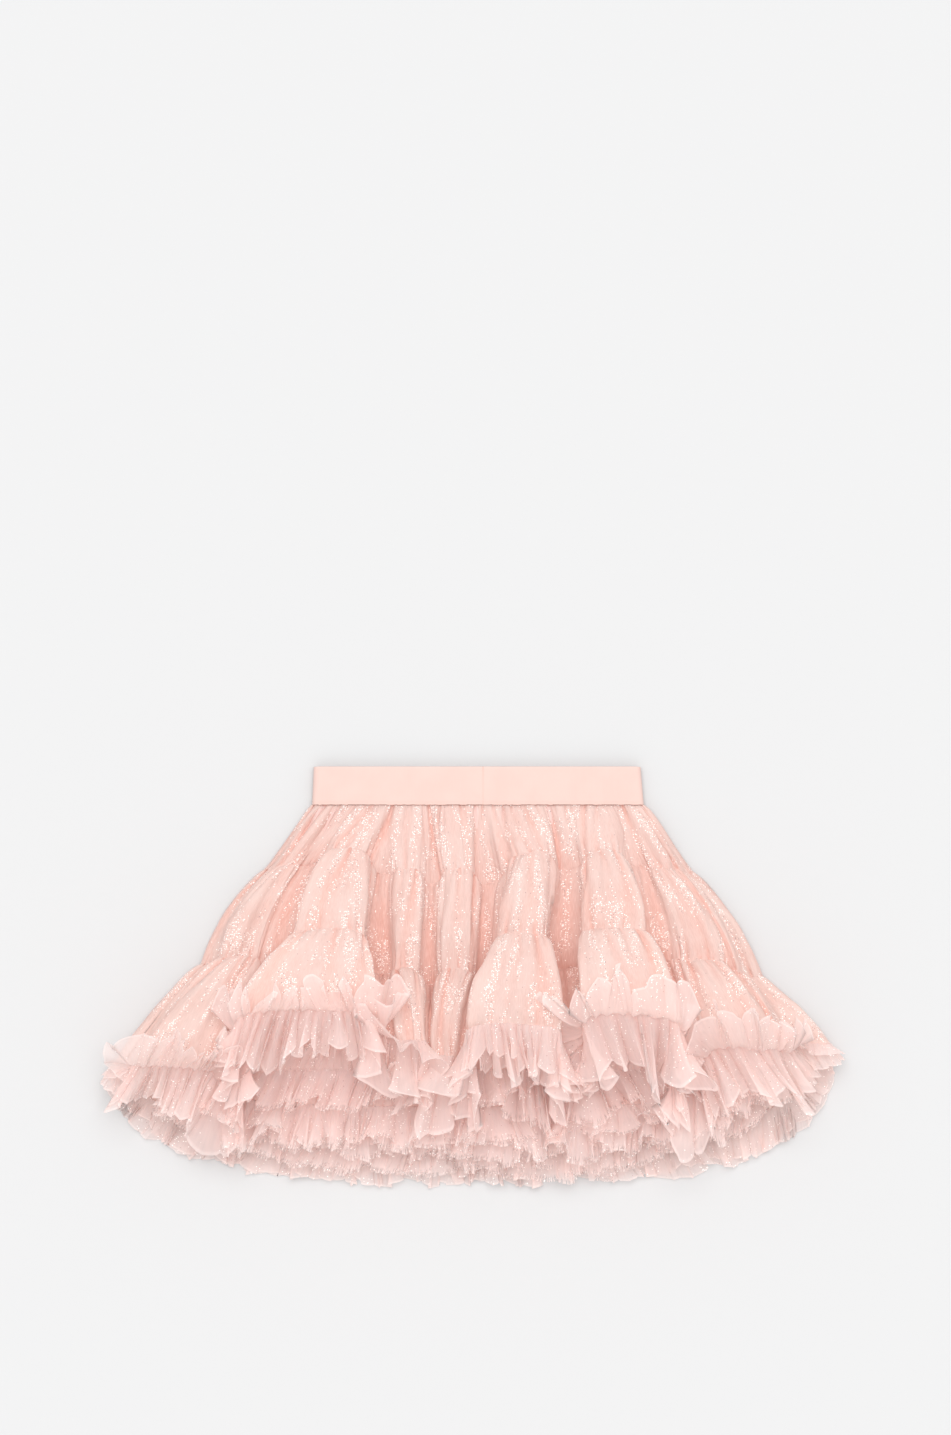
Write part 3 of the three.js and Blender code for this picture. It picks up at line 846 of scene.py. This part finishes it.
def ply(rng, base, count, rows, longer, turned, under, inside, fray):
    """One half of a ruffle: its points from the seam to the free edge, and the painted shade each takes.

    It hangs from the seam, or turns back over the tier, and its waves grow towards the free edge and
    wander there. longer and turned are shares of the stated depth and turn, under is how far it hangs
    inside, and inside how much painted shade darkens it near the seam.
    """
    root, flow, face, tangent, front, lay = base
    turn, bend, depth, wave_length, relief = np.moveaxis(lay, -1, 0)
    phase = np.arange(len(root)) / WAVE_COLUMNS

    def uneven(measure):
        share, width = WANDER[measure]
        return share * drift(rng, phase, count, width)

    def turns(width, spread):
        edges = cells(rng, count, width, spread)
        return 2 * np.pi * np.interp(phase, edges, np.arange(len(edges)))[None]

    calm = np.minimum(relief / CALM_RELIEF, 1)
    turn = np.radians(turn) * turned * (1 + uneven("turn"))
    bend = np.radians(bend) + front * (uneven("bend") + uneven("long bend"))
    height = wave_length * relief * (1 + uneven("height"))
    depth = depth * (1 + calm * uneven("depth") + uneven("long depth"))
    depth = depth * RUFFLE_DEPTH * mix(1, longer, front)
    waves, broad = turns(1, WAVE_SPREAD), turns(BROAD_WIDTH, BROAD_SPREAD)
    lean = calm * uneven("lean")
    shift = calm * uneven("shift")
    heave = uneven("heave")
    frayed = fray * rng.uniform(-1, 1, len(root))

    t = np.linspace(0, 1, rows)[:, None] ** ROW_CROWDING
    grown = t ** 0.75
    angle = bend[None] * t + turn[None] * (1 - np.exp(-t / TURN_REACH))
    straight, lifted = run_along(np.cos(angle), t), run_along(np.sin(angle), t)
    wave = (ROOT_HEIGHT + height * grown) * (rounded(waves) + RIPPLE * np.sin(3 * waves + 1) * (1 - t))
    wave += BROAD_HEIGHT * height * (np.sin(broad) + heave) * t ** 1.4 - under * np.minimum(t * 4, 1)
    loops = lean * t + shift * t ** 1.6 - LOOP_SHARE * np.sin(2 * waves) * t ** 0.6
    loops = wave_length * (loops - BROAD_LOOP * calm * np.sin(2 * broad) * t ** 1.5)
    tongue = TONGUE * height * rounded(waves) * t ** 2 + frayed * t ** 8
    out = depth * lifted + tongue * np.sin(angle) + wave * np.cos(angle)
    out += TURNED_CLEAR * height * grown * (1 - np.cos(turn)) / 2
    ahead = depth * straight + tongue * np.cos(angle) - wave * np.sin(angle) - ROOT_TUCK
    points = root + flow * ahead[..., None] + face * out[..., None] + tangent * loops[..., None]
    points[..., 2] += height * mix(*LIFTED, front) * grown
    # Painted shade: darker down each wave's valley, less so towards the free edge, more on the front, and
    # near the seam where the mouth lies.
    shade_and_seams = ((1 - rounded(waves)) / 2) ** 1.5 * (1 - 0.45 * t) * mix(*FOLD_SHADE, front)
    return points, shade_and_seams + inside * (1 - t) ** 2 * front


def ruffle(name, node, layer, front_lay, seed, material, longer, fray):
    """A strip gathered along its middle onto a layer's hem, so that both its halves hang from there."""
    rng = np.random.default_rng(seed)
    above, hem = layer.rings([HEM - FLOW_SPAN, HEM])
    around = unit(round_steps(hem[None])[0])
    fall = unit(hem - above)
    normals = unit(np.cross(fall, around))
    flow = unit(fall + FLOW_LEAN * np.cross(around, normals))
    flow[:, 2] = np.minimum(flow[:, 2], FLOW_CLIMB)
    where, whole = length_round(hem)
    spots = np.concatenate([where, [whole]])
    lay = lay_round(layer, front_lay)

    phase_at = np.concatenate([[0], np.cumsum(np.diff(spots) / lay[:, 3])])
    count = int(round(phase_at[-1]))
    phase = np.arange(count * WAVE_COLUMNS) / WAVE_COLUMNS
    places = np.interp(phase, phase_at * count / phase_at[-1], spots)

    def along(values, waves=0):
        joined = np.concatenate([values, values[:1]])
        even = np.stack([np.interp(places, spots, column) for column in joined.T], -1)
        return smoothed(even, WAVE_COLUMNS * waves) if waves else even

    front = along(layer.frontness()[:, None])[:, 0]
    root = along(hem)
    face = unit(mix(np.array([0, 0, 1.0]), along(normals, 2), front[:, None]))
    sag = SAG * np.clip((root[:, 2] - SAG_FROM) / SAG_REACH, 0, 1)[:, None] * (0, 0, -1)
    lay = along(lay, 2)
    base = (root, unit(along(flow, 3) + sag), face, unit(along(around, 2)), front, lay)
    # Painted shade in the mouth under a turned ruffle, the darker the further it is turned.
    mouth_shade = MOUTH_SHADE * (1 - np.cos(np.radians(lay[:, 0]))) / 2
    upper, upper_shade = ply(rng, base, count, UPPER_ROWS, 1, 1, 0, 0, fray)
    under, under_shade = ply(rng, base, count, UNDER_ROWS, longer, 0, UNDER_DROP * front, mouth_shade, fray)
    upper, under = settled(upper, FLOOR_RISE + 0.4), settled(under, FLOOR_RISE - 0.1)
    points = np.concatenate([upper[::-1], under[1:]])
    # Painted shade: the under half a little darker all over, as it lies under the upper one.
    shade_and_seams = np.concatenate([upper_shade[::-1], np.minimum(under_shade[1:] + 0.1, 1)])
    down = np.concatenate([-np.linspace(1, 0, UPPER_ROWS), np.linspace(0, 1, UNDER_ROWS)[1:]])
    lengths = lengths_of(places, whole, len(down))
    piece = cloth_mesh(name, points, lengths, down * RUFFLE_DEPTH * MM, material, shade_and_seams)
    dress(piece, node)


# The waistband

# How far the elastic lies above the floor and stands over the plies inside it, and its wall
BAND_LIFT, BAND_CLEAR, BAND_WALL = 0.5, 0.6, 1.0
# How much narrower than its lower edge the upper one is, at the left and at the right
BAND_TAPER = (0.99, 0.98)
BAND_COLUMNS, CORNER_COLUMNS = 420, 10
BAND_DROPS = (0, 0.15, 0.5, 1.2, 3, 7, 12, 17, 22, 24.5, 26, 27, 28, 29, 29.6, 29.9)
# The rounding of its upper edge, and the puckers of its lower one: width, rise, drop, reach
EDGE_SINK, EDGE_REACH = 0.5, 0.4
PUCKER_WIDTH, PUCKER_RISE, PUCKER_DROP, PUCKER_REACH = 6.5, 0.35, 29.4, 1.3
# The join: its place, width and depth, how far down it fades, and what is left of it there
JOIN_X, JOIN_WIDTH, JOIN_DEPTH, JOIN_FADE, JOIN_LEFT = 4, 0.6, 0.5, 9, 0.45
STITCH_DROP, STITCH_WIDTH, STITCH_DEPTH = 28.4, 0.5, 0.4


def band_section():
    """The elastic's closed outline across the waist, as X and rise: flat, with rounded ends."""
    height = STACK_HEIGHT + BAND_CLEAR - BAND_LIFT
    half = WAIST_HALF + TULLE_WALL / 2 + SEAM_GAP
    turn = np.linspace(0, np.pi, CORNER_COLUMNS + 2)[1:-1]
    radius = height / 2
    x = np.linspace(-(half - radius), half - radius, BAND_COLUMNS)
    top = np.stack([x, np.full(BAND_COLUMNS, height)], -1)
    right = np.stack([half - radius + radius * np.sin(turn), radius + radius * np.cos(turn)], -1)
    under = np.stack([x[::-1], np.zeros(BAND_COLUMNS)], -1)
    left = np.stack([-(half - radius) - radius * np.sin(turn), radius - radius * np.cos(turn)], -1)
    return np.concatenate([top, right, under, left]) + np.array([0, BAND_LIFT])


def waistband():
    """The elastic: a loop pressed flat, with a join, and stitched and puckered along its lower edge."""
    section = band_section()
    x, rise = section.T
    where, whole = length_round(section)
    taper = np.where(x < 0, *BAND_TAPER)
    upper = rise > STACK_HEIGHT
    lower = rise < 1 + BAND_LIFT
    pucker = puffs(np.random.default_rng(11), where, whole, PUCKER_WIDTH) - 0.5
    rows, shade_and_seams = [], []
    for drop in BAND_DROPS:
        stitched = STITCH_DEPTH * math.exp(-(((drop - STITCH_DROP) / STITCH_WIDTH) ** 2))
        sunk = EDGE_SINK * math.exp(-drop / EDGE_REACH) + stitched
        bulge = PUCKER_RISE * math.exp(-(((drop - PUCKER_DROP) / PUCKER_REACH) ** 2)) * pucker
        join = np.exp(-(((x - JOIN_X) / JOIN_WIDTH) ** 2)) * upper
        join = join * mix(1, JOIN_LEFT, min(drop / JOIN_FADE, 1))
        frill = PUCKER_RISE * pucker * math.exp((drop - BAND_DEPTH) / 1.5) * upper
        z = rise - np.where(upper, sunk + JOIN_DEPTH * join - bulge, -sunk * 0.3 * lower)
        rows.append(np.stack([x * mix(taper, 1, drop / BAND_DEPTH), -(drop + frill), z], -1))
        at_seam = math.exp((drop - BAND_DEPTH) / 0.5)
        shade_and_seams.append(np.clip(join + 1.6 * stitched * (0.5 + pucker) + at_seam, 0, 1))
    around = lengths_of(where, whole, len(rows))
    drops = np.array(BAND_DROPS) * MM
    piece = cloth_mesh("elastic_waistband", np.stack(rows), around, drops, ELASTIC, np.stack(shade_and_seams))
    thick = piece.modifiers.new("thickness", "SOLIDIFY")
    thick.thickness = BAND_WALL * MM
    thick.offset = 0
    apply_modifiers(piece)
    dress(piece, "waistband")


# Floor, light and camera

# The floor: its side in metres, how far it lies below the skirt, and its colour
FLOOR_SIZE, FLOOR_DROP = 12, 0.5
FLOOR_COLOUR = (0.54, 0.54, 0.542, 1)
SKY_LIGHT = 0.96
KEY_LIGHT = 2.3
KEY_SOFTNESS = math.radians(50)
KEY_TOWARDS = (0, -0.34, -1)

# The photograph's frame on the floor: its scale, its size, and where the middle of the waist is in it
PIXEL = 0.79
FRAME_SIZE = (951, 1435)
WAIST_PIXEL = (478, 767)
LENS = 150
SENSOR = 36
FOCUS_RISE = 15
FAR_CLIP = 50


def studio():
    """A pale floor under a white sky, with one soft light from above the waist."""
    bpy.ops.mesh.primitive_plane_add(size=FLOOR_SIZE, location=(0, 0, -FLOOR_DROP * MM))
    floor = bpy.context.object
    floor.name = "floor"
    paper = Graph("pale_paper")
    face = paper.node("ShaderNodeBsdfPrincipled", values={"Base Color": FLOOR_COLOUR, "Roughness": 0.9})
    floor.data.materials.append(paper.finish(face))
    world = bpy.data.worlds.new("studio")
    world.use_nodes = True
    sky = world.node_tree.nodes["Background"].inputs
    sky["Color"].default_value = (1, 1, 1, 1)
    sky["Strength"].default_value = SKY_LIGHT
    bpy.context.scene.world = world
    lamp = bpy.data.lights.new("key", "SUN")
    lamp.angle = KEY_SOFTNESS
    lamp.energy = KEY_LIGHT
    light = bpy.data.objects.new("key", lamp)
    light.rotation_euler = Vector(KEY_TOWARDS).to_track_quat("-Z", "Y").to_euler()
    bpy.context.scene.collection.objects.link(light)


def camera():
    """Straight above the floor, with the waist where the photograph has it."""
    centre_x = WAIST_MIDDLE + (FRAME_SIZE[0] / 2 - WAIST_PIXEL[0]) * PIXEL * MM
    centre_y = WAIST_TOP - (FRAME_SIZE[1] / 2 - WAIST_PIXEL[1]) * PIXEL * MM
    lens = bpy.data.cameras.new("camera")
    lens.lens = LENS
    lens.sensor_width = SENSOR
    lens.clip_end = FAR_CLIP
    eye = bpy.data.objects.new("camera", lens)
    eye.location = (centre_x, centre_y, LENS / SENSOR * FRAME_SIZE[1] * PIXEL * MM + FOCUS_RISE * MM)
    bpy.context.scene.collection.objects.link(eye)
    bpy.context.scene.camera = eye


OUTER = Layer(outer_front, partial(plain_half, "outer back"), 1200, 420, fluted=True)
MIDDLE = Layer(partial(plain_half, "middle front"), partial(plain_half, "middle back"), 700, 360)
INNER = Layer(partial(plain_half, "inner front"), partial(plain_half, "inner back"), 600, 320)

camera()
studio()

# A tier's seams, rows of points and seed, and a ruffle's seed, longer under half and fray
tier("outer_upper_tier", "upper_tier", OUTER, WAIST, UPPER_SEAM, 28, 21, GLITTER_TULLE, "glitter_tulle")
tier(
    "outer_middle_tier", "middle_tier", OUTER, UPPER_SEAM, LOWER_SEAM, 36, 22,
    GLITTER_TULLE, "glitter_tulle",
)
tier("outer_lower_tier", "lower_tier", OUTER, LOWER_SEAM, HEM, 40, 23, GLITTER_TULLE, "glitter_tulle")
waistband()
ruffle("outer_hem_ruffle", "hem_ruffle", OUTER, RUFFLE_LAY, 31, RUFFLE_TULLE, 1.45, 0.2)
tier("first_petticoat", "petticoat_1", MIDDLE, WAIST, HEM, 40, 24, PETTICOAT_TULLE, "petticoat_tulle")
ruffle(
    "first_petticoat_ruffle", "petticoat_ruffle_1", MIDDLE, FIRST_PETTICOAT_LAY, 32,
    PETTICOAT_RUFFLE, 1.25, 0.3,
)
tier("second_petticoat", "petticoat_2", INNER, WAIST, HEM, 40, 25, PETTICOAT_TULLE, "petticoat_tulle")
ruffle(
    "second_petticoat_ruffle", "petticoat_ruffle_2", INNER, SECOND_PETTICOAT_LAY, 33,
    PETTICOAT_RUFFLE, 1.15, 0.3,
)

bpy.context.scene.view_settings.view_transform = "Standard"
bpy.context.scene.cycles.transparent_max_bounces = 24
